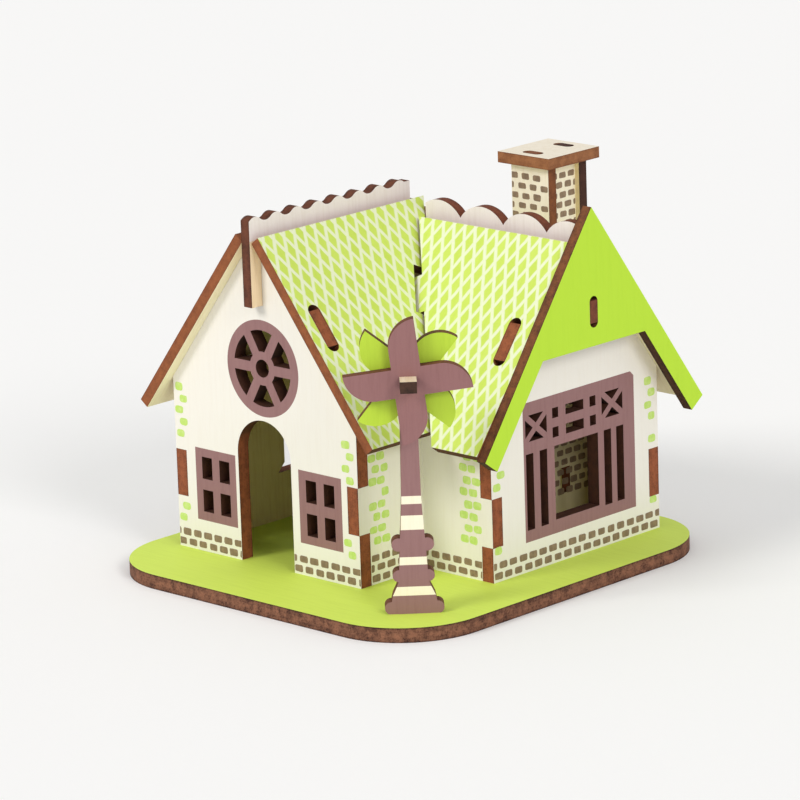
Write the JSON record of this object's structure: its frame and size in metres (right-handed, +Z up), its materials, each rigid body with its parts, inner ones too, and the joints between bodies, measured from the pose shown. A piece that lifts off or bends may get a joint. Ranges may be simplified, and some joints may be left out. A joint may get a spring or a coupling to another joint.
{
  "type": "wooden 3d jigsaw cottage",
  "caption": "Laser-cut plywood cottage puzzle: L-shaped house with two gables, shingled roof, scalloped ridges and chimney on a rounded base, and a turning pinwheel windmill.",
  "frame": {"origin": "centre of the base plate's underside", "axes": "+Z up, door gable faces -Y, lattice gable faces +X"},
  "size_m": [0.0907, 0.0953, 0.082],
  "materials": {
    "lime_ply": "lime green printed plywood with browned laser-cut edges",
    "cream_ply": "cream printed plywood with brick and stone dabs and browned laser-cut edges",
    "roof_ply": "plywood printed with green diamond shingles and white lines, browned edges, cream underside",
    "purple_ply": "dusty purple printed plywood with cream bands and browned edges",
    "green_ply": "bright leaf green printed plywood with browned edges",
    "axle_ply": "bare plywood strip with browned edges"
  },
  "bodies": {
    "house": {"base_plate": "lime_ply", "door_gable_wall": "cream_ply", "left_side_wall": "cream_ply", "inner_side_wall": "cream_ply", "inner_front_wall": "cream_ply", "lattice_gable_wall": "cream_ply", "back_wall": "cream_ply", "hearth_partition": "cream_ply", "roof_left_outer": "roof_ply", "roof_left_inner": "roof_ply", "roof_right_front": "roof_ply", "roof_right_back": "roof_ply", "left_ridge_board": "cream_ply", "right_ridge_board": "cream_ply", "fascia_board": "green_ply", "chimney_front": "cream_ply", "chimney_back": "cream_ply", "chimney_left": "cream_ply", "chimney_right": "cream_ply", "chimney_cap": "cream_ply", "windmill_post": "purple_ply"},
    "windmill": {"windmill_axle": "axle_ply", "sail_front": "purple_ply", "sail_rear": "green_ply"}
  },
  "joints": [
    {"name": "windmill_spin", "type": "hinge", "parent": "house", "child": "windmill", "pos_m": [0.03355, -0.03415, 0.0508], "axis": [0.7071, -0.7071, 0], "continuous": true}
  ]
}
